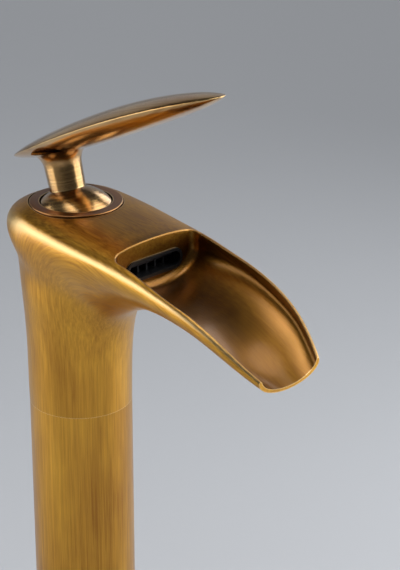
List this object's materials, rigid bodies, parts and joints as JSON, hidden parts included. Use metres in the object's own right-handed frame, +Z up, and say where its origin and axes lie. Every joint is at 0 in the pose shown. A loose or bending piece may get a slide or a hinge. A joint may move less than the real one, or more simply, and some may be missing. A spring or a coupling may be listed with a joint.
{
  "type": "waterfall basin faucet",
  "caption": "Tall basin faucet with a round column, an open trough spout that pours a sheet of water, and a leaf-shaped lever on a dome.",
  "frame": {"origin": "centre of the foot on the deck, under the column", "axes": "+Z up along the column, -Y towards the spout's lip, +X to the lever's left as seen from the basin"},
  "size_m": [0.0576, 0.1636, 0.3591],
  "materials": {
    "antique_brass": "brushed, darkened",
    "raw_brass": "machined",
    "black_rubber": "matte",
    "zinc_steel": "zinc plated",
    "white_plastic": "moulded",
    "grey_plastic": "moulded",
    "ceramic": "lapped ceramic",
    "black_plastic": "moulded",
    "red_plastic": "moulded"
  },
  "bodies": {
    "tap_body": {"spout_casting": "antique_brass", "column_tube": "antique_brass", "foot_ring": "antique_brass", "foot_gasket": "black_rubber", "foot_plug": "raw_brass", "fixing_studs": "zinc_steel", "stud_nuts": "raw_brass", "clamp_rubber": "black_rubber", "clamp_plate": "zinc_steel", "trim_ring": "antique_brass", "cartridge_nut": "raw_brass", "cartridge_housing": "white_plastic", "cartridge_base": "white_plastic", "port_seals": "black_rubber", "fixed_disc": "ceramic", "outlet_frame": "black_plastic", "outlet_fins": "grey_plastic"},
    "turret": {"turret": "white_plastic", "spindle_pin": "zinc_steel"},
    "disc": {"disc_carrier": "grey_plastic", "moving_disc": "ceramic"},
    "lever": {"spindle": "raw_brass", "dome": "antique_brass", "lever": "antique_brass", "grub_screw": "zinc_steel", "index_plug": "red_plastic"}
  },
  "joints": [
    {"name": "lever_turn", "type": "hinge", "parent": "tap_body", "child": "turret", "pos_m": [0, 0, 0.219], "axis": [0, 0, 1], "range_deg": [-45, 45]},
    {"name": "disc_slide", "type": "slide", "parent": "turret", "child": "disc", "axis": [0, -1, 0], "range_m": [-0.0045, 0.0005]},
    {"name": "lever_lift", "type": "hinge", "parent": "turret", "child": "lever", "pos_m": [0, 0, 0.219], "axis": [-1, 0, 0], "range_deg": [-23, 2]}
  ],
  "couplings": [
    {"joint": "disc_slide", "follows": "lever_lift", "m_per_rad": 0.010925}
  ]
}
